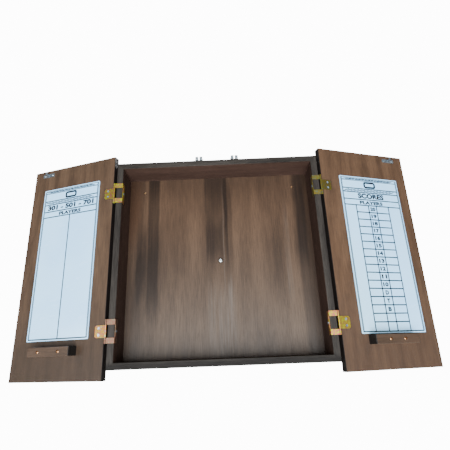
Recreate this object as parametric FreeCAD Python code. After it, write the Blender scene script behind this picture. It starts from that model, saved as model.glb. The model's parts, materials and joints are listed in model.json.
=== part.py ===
import FreeCAD
import Part
import os

# Dart board cabinet, hung on a wall, with both doors swung right back.
# Frame: +X to the right, +Y into the wall, +Z up, millimetres.
# Origin: on the wall plane, behind the centre of the board.

V = FreeCAD.Vector

# ---- driving dimensions of the body -------------------------------------
BODY_WIDTH = 500.0
BODY_HEIGHT = 490.0
BODY_DEPTH = 91.0
BOARD = 15.0                  # thickness of the four frame boards
EDGE_BREAK = 0.8              # small chamfer along the boards' long edges
BACK_THICKNESS = 4.0
BACK_RECESS = 11.0            # wall plane to the back panel's rear face
GROOVE_DEPTH = 5.0            # the back panel sits in a groove this deep
GROOVE_SLACK = 0.5            # room at the bottom of the groove

INNER_X = BODY_WIDTH / 2 - BOARD
INNER_Z = BODY_HEIGHT / 2 - BOARD
RIM_Y = -BODY_DEPTH
BACK_FRONT_Y = -(BACK_RECESS + BACK_THICKNESS)

# ---- behind the back panel ----------------------------------------------
WALL_HOLE_X = 196.0           # the two wall screws, left and right of the middle
WALL_HOLE_Z = 195.0
WALL_HOLE_R = 2.75
RAIL_HEIGHT = 60.0
BLOCK_SIDE = 70.0

# ---- board hanging screw ------------------------------------------------
HANGER_SHANK_R = 2.5
HANGER_HEAD_R = 5.0
HANGER_HEAD = 3.5
HANGER_STANDOFF = 6.0         # clear shank between the back panel and the head
HANGER_BITE = 13.0            # length held in the panel and the block

# ---- corner nails -------------------------------------------------------
NAIL_R = 0.8
NAIL_HEAD_R = 1.6
NAIL_HEAD = 1.0
NAIL_LENGTH = 32.0
NAIL_YS = (-70.0, -30.0)

# ---- doors --------------------------------------------------------------
DOOR_WIDTH = 250.8
DOOR_HEIGHT = 532.0
DOOR_THICKNESS = 16.0
OPEN_PAST_FLAT = 17.354       # degrees: the free edge then meets the wall plane

# ---- hinges -------------------------------------------------------------
HINGE_Z = 164.3
HINGE_HEIGHT = 51.0
LEAF = 1.2                    # sheet thickness of both leaves
NEST_GAP = 0.3                # between a leaf and the wood opposite
AXIS_OUT = 5.0                # hinge axis outside the side panel's outer face
DOOR_EDGE = 3.2               # hinge axis to the door's own hinge edge
DOOR_EDGE_BREAK = 0.4         # small chamfer round the doors
KNUCKLE_R = 2.2
PIN_R = 0.95
PIN_RUNNING = 0.05            # radial clearance of the turning knuckle
PIN_SEAT = 0.02               # radial clearance of the fixed knuckles
PIN_STAND = 0.8               # pin end beyond the knuckle
DOOR_LEAF_HALF = 13.2
WINDOW_HALF = 13.9            # opening in the cabinet leaf that the door leaf lies in
DOOR_LEAF_REACH = 27.0        # axis to the door leaf's free end
DOOR_LEAF_CORNER = 5.0
LEG_DEPTH = 15.0              # leg of the cabinet leaf along the inner face
WINDOW_DEPTH = 3.5            # how far the opening runs down the leg

AXIS_X = BODY_WIDTH / 2 + AXIS_OUT
FACE_GAP = LEAF + NEST_GAP    # closed door's inner face to the rim
AXIS_Y = RIM_Y - FACE_GAP / 2
RIM_TO_AXIS = FACE_GAP / 2    # the rim, seen from the axis

# ---- wood screws --------------------------------------------------------
HINGE_SCREW = {"head_r": 3.0, "shank_r": 1.6, "sink": 1.2, "dome": 0.0, "length": 13.0}
LEG_SCREW = {"head_r": 3.2, "shank_r": 1.6, "sink": 1.2, "dome": 1.5, "length": 12.0}
HOLDER_SCREW = {"head_r": 3.4, "shank_r": 1.8, "sink": 2.4, "dome": 0.8, "length": 38.0}
STRIKE_SCREW = {"head_r": 2.5, "shank_r": 1.4, "sink": 1.1, "dome": 0.7, "length": 12.0}
BASE_SCREW = {"head_r": 2.7, "shank_r": 1.4, "sink": 1.1, "dome": 1.0, "length": 12.0}
RECESS_WIDTH = 0.28           # cross recess, as a share of the head's radius
RECESS_DEPTH = 0.9
DOOR_SCREW_X = 17.5           # hinge axis to the door leaf's screws
DOOR_SCREW_Z = 7.0
LEG_SCREW_Y = 8.5             # rim to the leg's screw

# ---- scoreboards and dart holders, measured from the door's hinge edge ---
SCORE_WIDTH = 170.0
SCORE_HEIGHT = 384.0
SCORE_THICKNESS = 1.5
SCORE_CORNER = 2.0
SCORE_CENTRE = {"left": (126.1, 14.0), "right": (135.1, 2.5)}
HOLDER_LENGTH = 112.0
HOLDER_DEPTH = 26.0
HOLDER_HEIGHT = 20.0
HOLDER_CENTRE = {"left": (125.8, -202.0), "right": (121.8, -202.0)}
HOLDER_SCREW_HALF = {"left": 27.5, "right": 18.7}
DART_HOLE_R = 4.25
DART_HOLES = 3

# ---- roller catches on the top panel ------------------------------------
CATCH_X = 45.0
BASE_HALF = 10.0
BASE_FRONT_Y = -90.5
BASE_REAR_Y = -64.5
BASE_SHEET = 1.2
EAR_FRONT_Y = -79.6
EAR_REAR_Y = -73.8
EAR_TOP = 10.0                # above the top panel, as all heights below
BASE_SCREW_X = 5.2
BASE_SCREW_Y = -68.5
ROLLER_X = 4.6                # from the catch's middle
ROLLER_Y = -86.0
ROLLER_R = 3.3
ROLLER_ROUND = 1.2
ROLLER_LOW = 2.5
ROLLER_HIGH = 10.8
ROLLER_PIN_R = 0.9
ARM_SHEET = 0.8
ARM_LOW = 1.5
ARM_HIGH = 11.8
ARM_INNER_X = 1.6
ARM_OUTER_X = 9.0
ARM_FRONT_Y = -89.0
ARM_REAR_Y = -80.2
ARM_ROUND = 2.4
TAIL_OUTER_X = 5.4
TAIL_INNER_X = 1.8
TAIL_FRONT_Y = -79.2
TAIL_REAR_Y = -74.2
ROD_Y = -76.7
ROD_HEIGHT = 6.6
ROD_R = 1.05
SPRING_WIRE_R = 0.22
SPRING_MEAN_R = 1.6
SPRING_TURNS = 3.0
SPRING_END_GAP = 0.1

# ---- catch strikes on the doors -----------------------------------------
STRIKE_HALF = 18.0
STRIKE_HEIGHT = 10.0
STRIKE_SCREW_X = 12.5
SPEAR_LOW = 2.8
SPEAR_HIGH = 10.2
NECK_HALF = 1.0
SPEAR_HALF = 3.0
NECK_END = 7.6                # from the hinge axis, towards the cabinet
SPEAR_WIDEST = 9.9
SPEAR_TIP = 12.0

TOP_Z = BODY_HEIGHT / 2
SIDES = ("left", "right")
LEVELS = (("upper", HINGE_Z), ("lower", -HINGE_Z))


def span(x, y, z):
    """Box from three (low, high) pairs."""
    lows = [min(pair) for pair in (x, y, z)]
    sizes = [abs(pair[1] - pair[0]) for pair in (x, y, z)]
    return Part.makeBox(sizes[0], sizes[1], sizes[2], V(*lows))


def rod(radius, start, direction, length):
    return Part.makeCylinder(radius, length, V(*start), V(*direction))


def prism(points, z_low, z_high):
    """Upright prism on a closed outline in X and Y."""
    corners = [V(x, y, z_low) for x, y in points]
    face = Part.Face(Part.makePolygon(corners + [corners[0]]))
    return face.extrude(V(0, 0, z_high - z_low))


def edges_along(shape, axis):
    """Straight edges of a shape that run along one axis."""
    found = []
    for edge in shape.Edges:
        ends = [v.Point for v in edge.Vertexes]
        if len(ends) < 2:
            continue
        run = ends[1] - ends[0]
        if abs(abs(run.dot(axis)) - run.Length) < 1e-6:
            found.append(edge)
    return found


def screw_blank(kind, head_at, into):
    """Screw with a plain countersunk head under a low dome; head_at is on the surface."""
    outline = [V(0, 0, kind["dome"])]
    rim = V(kind["head_r"], 0, 0)
    neck = V(kind["shank_r"], 0, -kind["sink"])
    tip_taper = 2 * kind["shank_r"]
    shoulder = V(kind["shank_r"], 0, tip_taper - kind["length"])
    tip = V(0, 0, -kind["length"])
    edges = []
    if kind["dome"] > 0:
        bulge = V(0.7 * kind["head_r"], 0, 0.72 * kind["dome"])
        edges.append(Part.Arc(outline[0], bulge, rim).toShape())
    else:
        edges.append(Part.makeLine(outline[0], rim))
    edges.append(Part.makeLine(rim, neck))
    edges.append(Part.makeLine(neck, shoulder))
    edges.append(Part.makeLine(shoulder, tip))
    edges.append(Part.makeLine(tip, outline[0]))
    blank = Part.Face(Part.Wire(edges)).revolve(V(0, 0, 0), V(0, 0, 1), 360)
    blank.Placement = screw_place(head_at, into)
    return blank


def screw_place(head_at, into):
    return FreeCAD.Placement(V(*head_at), FreeCAD.Rotation(V(0, 0, -1), V(*into)))


def wood_screw(kind, head_at, into):
    """The same screw with a cross recess in its head."""
    screw = screw_blank(kind, head_at, into)
    half = RECESS_WIDTH * kind["head_r"] / 2
    reach = 0.62 * kind["head_r"]
    bottom = kind["dome"] - RECESS_DEPTH
    for wide, thin in ((reach, half), (half, reach)):
        slot = span((-wide, wide), (-thin, thin), (bottom, kind["dome"] + 1))
        slot.Placement = screw_place(head_at, into)
        screw = screw.cut(slot)
    return screw


def screws(sites):
    return Part.makeCompound([wood_screw(*site) for site in sites])


def drill(shape, sites):
    """Cut the screws' holes; a site is (kind of screw, head, direction)."""
    return shape.cut([screw_blank(*site) for site in sites])


# ---- body ---------------------------------------------------------------

def frame_board(inner_length):
    """One mitred board: length along X, inner face at z = 0, outer face at z = BOARD."""
    e = EDGE_BREAK
    half = inner_length / 2 + BOARD
    groove_front = BACK_FRONT_Y
    groove_rear = -BACK_RECESS
    section = [(0, -e), (e, 0), (BOARD - e, 0), (BOARD, -e), (BOARD, RIM_Y + e), (BOARD - e, RIM_Y),
               (e, RIM_Y), (0, RIM_Y + e), (0, groove_front), (GROOVE_DEPTH, groove_front),
               (GROOVE_DEPTH, groove_rear), (0, groove_rear)]
    corners = [V(-half, y, z) for z, y in section]
    stick = Part.Face(Part.makePolygon(corners + [corners[0]])).extrude(V(2 * half, 0, 0))
    short = inner_length / 2
    mitre = [V(-short, RIM_Y, 0), V(short, RIM_Y, 0), V(half, RIM_Y, BOARD), V(-half, RIM_Y, BOARD)]
    wedge = Part.Face(Part.makePolygon(mitre + [mitre[0]])).extrude(V(0, BODY_DEPTH, 0))
    return stick.common(wedge)


def corner_nail(side, level, y):
    """Nail driven inwards through a side panel's mitre into the top or bottom panel."""
    z = level * (INNER_Z + BOARD / 2)
    start = (side * BODY_WIDTH / 2, y, z)
    shank = rod(NAIL_R, start, (-side, 0, 0), NAIL_LENGTH)
    return shank.fuse(rod(NAIL_HEAD_R, start, (-side, 0, 0), NAIL_HEAD))


def make_body():
    nails = [corner_nail(s, level, y) for s in (-1, 1) for level in (-1, 1) for y in NAIL_YS]
    places = {"top_panel": (2 * INNER_X, 0, V(0, 0, INNER_Z)),
              "bottom_panel": (2 * INNER_X, 180, V(0, 0, -INNER_Z)),
              "right_side_panel": (2 * INNER_Z, 90, V(INNER_X, 0, 0)),
              "left_side_panel": (2 * INNER_Z, -90, V(-INNER_X, 0, 0))}
    nodes = {}
    for name, (length, turn, place) in places.items():
        board = frame_board(length)
        board.Placement = FreeCAD.Placement(place, FreeCAD.Rotation(V(0, 1, 0), turn))
        nodes[name] = board.cut(nails)
    nodes["corner_nails"] = Part.makeCompound(nails)
    return nodes


def make_back():
    reach = GROOVE_DEPTH - GROOVE_SLACK
    back = span((-INNER_X - reach, INNER_X + reach), (BACK_FRONT_Y, -BACK_RECESS),
                (-INNER_Z - reach, INNER_Z + reach))
    rail = span((-INNER_X, INNER_X), (-BACK_RECESS, 0), (INNER_Z - RAIL_HEIGHT, INNER_Z))
    half = BLOCK_SIDE / 2
    block = span((-half, half), (-BACK_RECESS, 0), (-half, half))
    for x in (-WALL_HOLE_X, WALL_HOLE_X):
        hole = rod(WALL_HOLE_R, (x, BACK_FRONT_Y - 1, WALL_HOLE_Z), (0, 1, 0), BODY_DEPTH)
        back = back.cut(hole)
        rail = rail.cut(hole)
    screw = hanging_screw()
    return {"back_panel": back.cut(screw), "hanging_rail": rail,
            "centre_block": block.cut(screw), "board_hanging_screw": screw}


def hanging_screw():
    """Round-headed screw that the board's bracket hooks over."""
    under_head = BACK_FRONT_Y - HANGER_STANDOFF
    shank = rod(HANGER_SHANK_R, (0, under_head, 0), (0, 1, 0), HANGER_STANDOFF + HANGER_BITE)
    head = rod(HANGER_HEAD_R, (0, under_head - HANGER_HEAD, 0), (0, 1, 0), HANGER_HEAD)
    front = [e for e in head.Edges if abs(e.CenterOfMass.y - (under_head - HANGER_HEAD)) < 0.01]
    head = head.makeFillet(HANGER_HEAD * 0.7, front)
    wide = 0.55 * HANGER_HEAD_R
    thin = 0.14 * HANGER_HEAD_R
    depth = (under_head - HANGER_HEAD - 1, under_head - HANGER_HEAD + 1.6)
    for x, z in ((wide, thin), (thin, wide)):
        head = head.cut(span((-x, x), depth, (-z, z)))
    return head.fuse(shank).removeSplitter()


# ---- hinges, built at the left side with the axis at x = 0, y = 0 ---------

def knuckle(z_low, z_high, clearance):
    barrel = rod(KNUCKLE_R, (0, 0, z_low), (0, 0, 1), z_high - z_low)
    return barrel, rod(PIN_R + clearance, (0, 0, z_low - 1), (0, 0, 1), z_high - z_low + 2)


def cabinet_leaf(z):
    """Two straps over the rim that turn down into one leg on the inner face."""
    wood = RIM_TO_AXIS
    skin = RIM_TO_AXIS - LEAF
    bend = AXIS_OUT + BOARD
    half = HINGE_HEIGHT / 2
    corner = V(bend + LEAF * 0.7, skin + LEAF * 0.3, 0)
    edges = [Part.makeLine(V(0, wood, 0), V(0, skin, 0)),
             Part.makeLine(V(0, skin, 0), V(bend, skin, 0)),
             Part.Arc(V(bend, skin, 0), corner, V(bend + LEAF, wood, 0)).toShape(),
             Part.makeLine(V(bend + LEAF, wood, 0), V(bend + LEAF, LEG_DEPTH, 0)),
             Part.makeLine(V(bend + LEAF, LEG_DEPTH, 0), V(bend, LEG_DEPTH, 0)),
             Part.makeLine(V(bend, LEG_DEPTH, 0), V(bend, wood, 0)),
             Part.makeLine(V(bend, wood, 0), V(0, wood, 0))]
    leaf = Part.Face(Part.Wire(edges)).extrude(V(0, 0, HINGE_HEIGHT))
    leaf.translate(V(0, 0, -half))
    bores = []
    for low, high in ((-half, -WINDOW_HALF), (WINDOW_HALF, half)):
        barrel, bore = knuckle(low, high, PIN_SEAT)
        leaf = leaf.fuse(barrel)
        bores.append(bore)
    window = span((-KNUCKLE_R - 1, bend + LEAF + 1), (skin - KNUCKLE_R - 1, WINDOW_DEPTH),
                  (-WINDOW_HALF, WINDOW_HALF))
    leaf = leaf.cut([window] + bores).removeSplitter()
    leaf.translate(V(0, 0, z))
    return leaf


def leg_site(z):
    return (LEG_SCREW, (AXIS_OUT + BOARD + LEAF, LEG_SCREW_Y, z), (-1, 0, 0))


def door_leaf(z):
    """Small rounded plate on the door's inner face with the middle knuckle."""
    low = -DOOR_LEAF_HALF
    plate = span((0, DOOR_LEAF_REACH), (-RIM_TO_AXIS, LEAF - RIM_TO_AXIS), (low, -low))
    rounded = [e for e in edges_along(plate, V(0, 1, 0)) if e.CenterOfMass.x > 1]
    plate = plate.makeFillet(DOOR_LEAF_CORNER, rounded)
    barrel, bore = knuckle(low, -low, PIN_RUNNING)
    leaf = plate.fuse(barrel).cut(bore).removeSplitter()
    leaf.translate(V(0, 0, z))
    return leaf


def hinge_pin(z):
    half = HINGE_HEIGHT / 2 + PIN_STAND
    pin = rod(PIN_R, (0, 0, z - half), (0, 0, 1), 2 * half)
    return pin.makeFillet(0.4 * PIN_R, [e for e in pin.Edges if e.Closed])


# ---- doors, built closed at the left side with the axis at x = 0, y = 0 ----

def door_slab():
    slab = span((DOOR_EDGE, DOOR_EDGE + DOOR_WIDTH), (-RIM_TO_AXIS - DOOR_THICKNESS, -RIM_TO_AXIS),
                (-DOOR_HEIGHT / 2, DOOR_HEIGHT / 2))
    return slab.makeChamfer(DOOR_EDGE_BREAK, slab.Edges)


def scoreboard(side):
    u, z = SCORE_CENTRE[side]
    x = DOOR_EDGE + u
    sheet = span((x - SCORE_WIDTH / 2, x + SCORE_WIDTH / 2), (-RIM_TO_AXIS, SCORE_THICKNESS - RIM_TO_AXIS),
                 (z - SCORE_HEIGHT / 2, z + SCORE_HEIGHT / 2))
    return sheet.makeFillet(SCORE_CORNER, edges_along(sheet, V(0, 1, 0)))


def dart_holder(side):
    """Bar with a row of upright holes for darts, points down."""
    u, z = HOLDER_CENTRE[side]
    x = DOOR_EDGE + u
    front = HOLDER_DEPTH - RIM_TO_AXIS
    low = z - HOLDER_HEIGHT / 2
    bar = span((x - HOLDER_LENGTH / 2, x + HOLDER_LENGTH / 2), (-RIM_TO_AXIS, front),
               (low, low + HOLDER_HEIGHT))
    outer = [e for e in bar.Edges if abs(e.CenterOfMass.y - front) < 0.01]
    bar = bar.makeChamfer(EDGE_BREAK, outer)
    pitch = HOLDER_LENGTH / DART_HOLES
    middle = HOLDER_DEPTH / 2 - RIM_TO_AXIS
    for i in range(DART_HOLES):
        hole_x = x + (i - (DART_HOLES - 1) / 2) * pitch
        bar = bar.cut(rod(DART_HOLE_R, (hole_x, middle, low - 1), (0, 0, 1), HOLDER_HEIGHT + 2))
    return bar


def holder_sites(side):
    u, z = HOLDER_CENTRE[side]
    front = HOLDER_DEPTH - RIM_TO_AXIS
    half = HOLDER_SCREW_HALF[side]
    return [(HOLDER_SCREW, (DOOR_EDGE + u + dx, front, z), (0, -1, 0)) for dx in (-half, half)]


def catch_strike():
    """Base plate with an arrow-headed spear that snaps between the two rollers."""
    x = AXIS_X - CATCH_X
    middle = (SPEAR_LOW + SPEAR_HIGH) / 2 + TOP_Z
    face = -RIM_TO_AXIS
    plate = span((x - STRIKE_HALF, x + STRIKE_HALF), (face, face + LEAF),
                 (middle - STRIKE_HEIGHT / 2, middle + STRIKE_HEIGHT / 2))
    plate = plate.makeFillet(2.5, edges_along(plate, V(0, 1, 0)))
    right = [(NECK_HALF, face + LEAF / 2), (NECK_HALF, NECK_END), (SPEAR_HALF, SPEAR_WIDEST),
             (NECK_HALF, SPEAR_TIP)]
    left = [(-a, b) for a, b in reversed(right)]
    outline = [(x + a, b) for a, b in right + left]
    spear = prism(outline, TOP_Z + SPEAR_LOW, TOP_Z + SPEAR_HIGH)
    return plate.fuse(spear).removeSplitter()


def strike_sites():
    x = AXIS_X - CATCH_X
    middle = (SPEAR_LOW + SPEAR_HIGH) / 2 + TOP_Z
    face = LEAF - RIM_TO_AXIS
    return [(STRIKE_SCREW, (x + dx, face, middle), (0, -1, 0)) for dx in (-STRIKE_SCREW_X, STRIKE_SCREW_X)]


def door_leaf_sites():
    face = LEAF - RIM_TO_AXIS
    return [(HINGE_SCREW, (DOOR_SCREW_X, face, z + dz), (0, -1, 0))
            for _, z in LEVELS for dz in (-DOOR_SCREW_Z, DOOR_SCREW_Z)]


def make_door(side):
    """All the pieces of one door, still closed and still at the left."""
    hinge = door_leaf_sites()
    holder = holder_sites(side)
    strike = strike_sites()
    nodes = {side + "_door_panel": drill(door_slab(), hinge + holder + strike),
             side + "_scoreboard": scoreboard(side),
             side + "_dart_holder": drill(dart_holder(side), holder),
             side + "_dart_holder_screws": screws(holder),
             side + "_catch_strike": drill(catch_strike(), strike),
             side + "_catch_strike_screws": screws(strike),
             side + "_door_hinge_screws": screws(hinge)}
    for level, z in LEVELS:
        nodes["door_hinge_leaf_" + level + "_" + side] = drill(door_leaf(z), hinge)
    return nodes


def open_door(shape):
    """Swing a closed left door outwards past flat and put its axis in place."""
    turned = shape.copy()
    turned.rotate(V(0, 0, 0), V(0, 0, 1), -(180 + OPEN_PAST_FLAT))
    turned.translate(V(-AXIS_X, AXIS_Y, 0))
    return turned


def on_side(shape, side):
    """The right side is the mirror image of the left."""
    if side == "left":
        return shape
    return shape.mirror(V(0, 0, 0), V(1, 0, 0))


# ---- roller catches, built at the middle; side is -1 or 1 -----------------

def arm_section():
    """End view of a roller arm: a channel that is open towards the spear."""
    low = TOP_Z + ARM_LOW
    high = TOP_Z + ARM_HIGH
    box = span((ARM_INNER_X, ARM_OUTER_X), (ARM_FRONT_Y, ARM_REAR_Y), (low, high))
    outer = [e for e in edges_along(box, V(0, 1, 0)) if e.CenterOfMass.x > ARM_INNER_X + 1]
    box = box.makeFillet(ARM_ROUND, outer)
    s = ARM_SHEET
    core = span((ARM_INNER_X - 1, ARM_OUTER_X - s), (ARM_FRONT_Y - 1, ARM_REAR_Y + 1), (low + s, high - s))
    outer = [e for e in edges_along(core, V(0, 1, 0)) if e.CenterOfMass.x > ARM_INNER_X + 1]
    return box.cut(core.makeFillet(ARM_ROUND - s, outer))


def roller_arm():
    low = TOP_Z + ARM_LOW
    high = TOP_Z + ARM_HIGH
    arm = arm_section()
    for flange in ((low, low + ARM_SHEET), (high - ARM_SHEET, high)):
        arm = arm.fuse(span((TAIL_INNER_X, TAIL_OUTER_X), (ARM_REAR_Y - 1, TAIL_REAR_Y), flange))
    arm = arm.fuse(span((TAIL_INNER_X, TAIL_OUTER_X), (TAIL_FRONT_Y, TAIL_REAR_Y), (low, high)))
    slide = rod(ROD_R + PIN_RUNNING, (0, ROD_Y, TOP_Z + ROD_HEIGHT), (1, 0, 0), BASE_HALF)
    pin = rod(ROLLER_PIN_R + PIN_SEAT, (ROLLER_X, ROLLER_Y, low - 1), (0, 0, 1), high - low + 2)
    return arm.cut([slide, pin]).removeSplitter()


def roller():
    low = TOP_Z + ROLLER_LOW
    height = ROLLER_HIGH - ROLLER_LOW
    body = rod(ROLLER_R, (ROLLER_X, ROLLER_Y, low), (0, 0, 1), height)
    body = body.makeFillet(ROLLER_ROUND, [e for e in body.Edges if e.Closed])
    return body.cut(rod(ROLLER_PIN_R + PIN_RUNNING, (ROLLER_X, ROLLER_Y, low - 1), (0, 0, 1), height + 2))


def roller_pin():
    low = TOP_Z + ARM_LOW
    shank = rod(ROLLER_PIN_R, (ROLLER_X, ROLLER_Y, low), (0, 0, 1), ARM_HIGH - ARM_LOW)
    head = rod(1.8 * ROLLER_PIN_R, (ROLLER_X, ROLLER_Y, TOP_Z + ARM_HIGH), (0, 0, 1), 0.7)
    rim = [e for e in head.Edges if e.CenterOfMass.z > TOP_Z + ARM_HIGH + 0.5]
    return shank.fuse(head.makeFillet(0.5, rim)).removeSplitter()


def catch_spring():
    """Coil spring round the guide rod between an arm's tail and the ear."""
    start = TAIL_OUTER_X + SPRING_END_GAP + SPRING_WIRE_R
    end = BASE_HALF - BASE_SHEET - SPRING_END_GAP - SPRING_WIRE_R
    length = end - start
    helix = Part.makeHelix(length / SPRING_TURNS, length, SPRING_MEAN_R)
    circle = Part.Circle(V(SPRING_MEAN_R, 0, 0), V(0, 1, 0), SPRING_WIRE_R)
    coil = Part.Wire(helix).makePipeShell([Part.Wire(circle.toShape())], True, True)
    coil.rotate(V(0, 0, 0), V(0, 1, 0), 90)
    coil.translate(V(start, ROD_Y, TOP_Z + ROD_HEIGHT))
    return coil


def catch_base(centre):
    plate = span((-BASE_HALF, BASE_HALF), (BASE_FRONT_Y, BASE_REAR_Y), (TOP_Z, TOP_Z + BASE_SHEET))
    plate = plate.makeFillet(2.0, edges_along(plate, V(0, 0, 1)))
    for s in (-1, 1):
        ear = span((s * (BASE_HALF - BASE_SHEET), s * BASE_HALF), (EAR_FRONT_Y, EAR_REAR_Y),
                   (TOP_Z, TOP_Z + EAR_TOP))
        plate = plate.fuse(ear)
    length = 2 * BASE_HALF + 2
    bore = rod(ROD_R + PIN_SEAT, (-length / 2, ROD_Y, TOP_Z + ROD_HEIGHT), (1, 0, 0), length)
    base = plate.cut(bore).removeSplitter()
    base.translate(V(centre, 0, 0))
    return base


def guide_rod(centre):
    half = BASE_HALF + 0.4
    return rod(ROD_R, (centre - half, ROD_Y, TOP_Z + ROD_HEIGHT), (1, 0, 0), 2 * half)


def base_sites():
    return [(BASE_SCREW, (s * CATCH_X + dx, BASE_SCREW_Y, TOP_Z + BASE_SHEET), (0, 0, -1))
            for s in (-1, 1) for dx in (-BASE_SCREW_X, BASE_SCREW_X)]


def make_catches():
    sites = base_sites()
    nodes = {"catch_base_screws": screws(sites)}
    for side, s in (("left", -1), ("right", 1)):
        nodes["catch_base_" + side] = drill(catch_base(s * CATCH_X), sites)
        nodes["catch_guide_rod_" + side] = guide_rod(s * CATCH_X)
        for place, t in (("outer", s), ("inner", -s)):
            for kind, build in (("roller_arm", roller_arm), ("catch_roller", roller),
                                ("roller_pin", roller_pin), ("catch_spring", catch_spring)):
                piece = build() if t > 0 else build().mirror(V(0, 0, 0), V(1, 0, 0))
                piece.translate(V(s * CATCH_X, 0, 0))
                nodes[kind + "_" + side + "_" + place] = piece
    return nodes


# ---- the whole cabinet ----------------------------------------------------

def at_hinge(shape, side):
    """Put a fixed hinge piece on its axis, at the left or mirrored to the right."""
    placed = shape.copy()
    placed.translate(V(-AXIS_X, AXIS_Y, 0))
    return on_side(placed, side)


def make_hinges():
    """Fixed leaves, pins and leg screws of the four hinges."""
    nodes = {}
    fixed = []
    for side in SIDES:
        for level, z in LEVELS:
            tail = level + "_" + side
            nodes["cabinet_hinge_leaf_" + tail] = at_hinge(drill(cabinet_leaf(z), [leg_site(z)]), side)
            nodes["hinge_pin_" + tail] = at_hinge(hinge_pin(z), side)
            fixed.append(at_hinge(wood_screw(*leg_site(z)), side))
    nodes["cabinet_hinge_screws"] = Part.makeCompound(fixed)
    return nodes


def drill_body(nodes):
    """Screw holes for the hinges in the side panels and for the catches in the top."""
    for side in SIDES:
        name = side + "_side_panel"
        holes = [at_hinge(screw_blank(*leg_site(z)), side) for _, z in LEVELS]
        nodes[name] = nodes[name].cut(holes)
    nodes["top_panel"] = drill(nodes["top_panel"], base_sites())


def main():
    nodes = make_body()
    nodes.update(make_back())
    drill_body(nodes)
    nodes.update(make_hinges())
    nodes.update(make_catches())
    for side in SIDES:
        for name, shape in make_door(side).items():
            nodes[name] = on_side(open_door(shape), side)
    os.makedirs("parts", exist_ok=True)
    for name, shape in sorted(nodes.items()):
        print(name, len(shape.Solids), "solid(s)", round(shape.Volume, 1), "mm3", shape.isValid())
        shape.exportStep("parts/" + name + ".step")


main()
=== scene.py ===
# %% [markdown]
# # Dart board cabinet, hung open
# A shallow wooden box holds a dart board, and two doors fold right back against the wall.
# The solid model arrives finished, so each board, hinge and roller is already in its place.
# This file gives it its looks: stain, veneer, plating, and the printing on the two scoreboards.
# It starts by loading the fixed frame.

# %% Load the imported model
import json
import math
import bpy
from mathutils import Matrix, Vector


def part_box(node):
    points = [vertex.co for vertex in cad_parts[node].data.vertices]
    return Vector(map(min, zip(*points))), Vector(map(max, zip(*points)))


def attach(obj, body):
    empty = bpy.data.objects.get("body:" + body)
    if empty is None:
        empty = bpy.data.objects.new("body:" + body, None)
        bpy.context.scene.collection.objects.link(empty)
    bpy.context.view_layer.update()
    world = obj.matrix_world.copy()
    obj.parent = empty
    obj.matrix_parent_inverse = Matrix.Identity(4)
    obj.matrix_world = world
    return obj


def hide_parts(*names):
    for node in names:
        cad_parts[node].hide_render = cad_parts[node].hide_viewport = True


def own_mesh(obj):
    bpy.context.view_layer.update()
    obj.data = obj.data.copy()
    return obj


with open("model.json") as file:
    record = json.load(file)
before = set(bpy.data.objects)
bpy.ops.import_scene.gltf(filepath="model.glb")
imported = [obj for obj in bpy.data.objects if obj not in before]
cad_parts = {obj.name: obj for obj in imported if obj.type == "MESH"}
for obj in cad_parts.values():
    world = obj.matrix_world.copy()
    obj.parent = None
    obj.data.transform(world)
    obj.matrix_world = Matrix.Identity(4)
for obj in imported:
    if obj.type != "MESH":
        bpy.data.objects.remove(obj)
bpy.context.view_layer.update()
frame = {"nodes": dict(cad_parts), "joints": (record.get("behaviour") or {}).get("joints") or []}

MM = 0.001
nodes = frame["nodes"]
joints = {joint["name"]: joint for joint in frame["joints"]}

# %% [markdown]
# ## Where things are
# Everything is measured from the CAD: the body's inside from its panels, and each door's plane
# from its hinge joint. The doors stand past flat, so a door has its own three directions: across
# the door from the hinge edge, out of its inner face, and up. All later pieces use these.

# %% Measure the body and the doors
SIDES = ("left", "right")
OUTWARD = {"left": -1.0, "right": 1.0}
UP = Vector((0.0, 0.0, 1.0))


def middle(node):
    low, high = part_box(node)
    return (low + high) / 2


class DoorPlane:
    """A door as it hangs open: its hinge line and its three directions."""

    def __init__(self, side):
        joint = joints[f"{side}_door_hinge"]
        lean = math.radians(joint["range_deg"][1] - 180.0)
        out = OUTWARD[side]
        self.lean = lean
        self.hinge = Vector(joint["pos_m"])
        self.across = Vector((out * math.cos(lean), math.sin(lean), 0.0))
        self.facing = Vector((out * math.sin(lean), -math.cos(lean), 0.0))
        self.reading = self.across * out

    def sheet(self, node):
        """Width, height and thickness of a flat sheet on the door, from its upright box."""
        low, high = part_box(node)
        wide, deep, tall = high - low
        turn = math.cos(2 * self.lean)
        width = (wide * math.cos(self.lean) - deep * math.sin(self.lean)) / turn
        thick = (deep * math.cos(self.lean) - wide * math.sin(self.lean)) / turn
        return width, tall, thick


doors = {side: DoorPlane(side) for side in SIDES}
back_low, back_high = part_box("back_panel")
rim_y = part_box("left_side_panel")[0].y
for side in SIDES:
    width, height, thick = doors[side].sheet(f"{side}_scoreboard")
    print(side, "scoreboard mm", round(width / MM, 1), round(height / MM, 1), round(thick / MM, 2))

# %% [markdown]
# ## Camera
# The cabinet is seen from a little below its middle, close in, so that the doors' far corners
# spread. The lens and the small roll belong to this view.

# %% Place the camera
camera_data = bpy.data.cameras.new("camera")
camera_data.sensor_width = 36.0
camera_data.lens = 30.128
camera_data.clip_start = 0.01
camera = bpy.data.objects.new("camera", camera_data)
camera.location = (0.0244, -0.9388, -0.2194)
camera.rotation_euler = [math.radians(angle) for angle in (108.83, 2.07, 1.334)]
bpy.context.scene.collection.objects.link(camera)
bpy.context.scene.camera = camera
print("camera lens", camera_data.lens)

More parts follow.
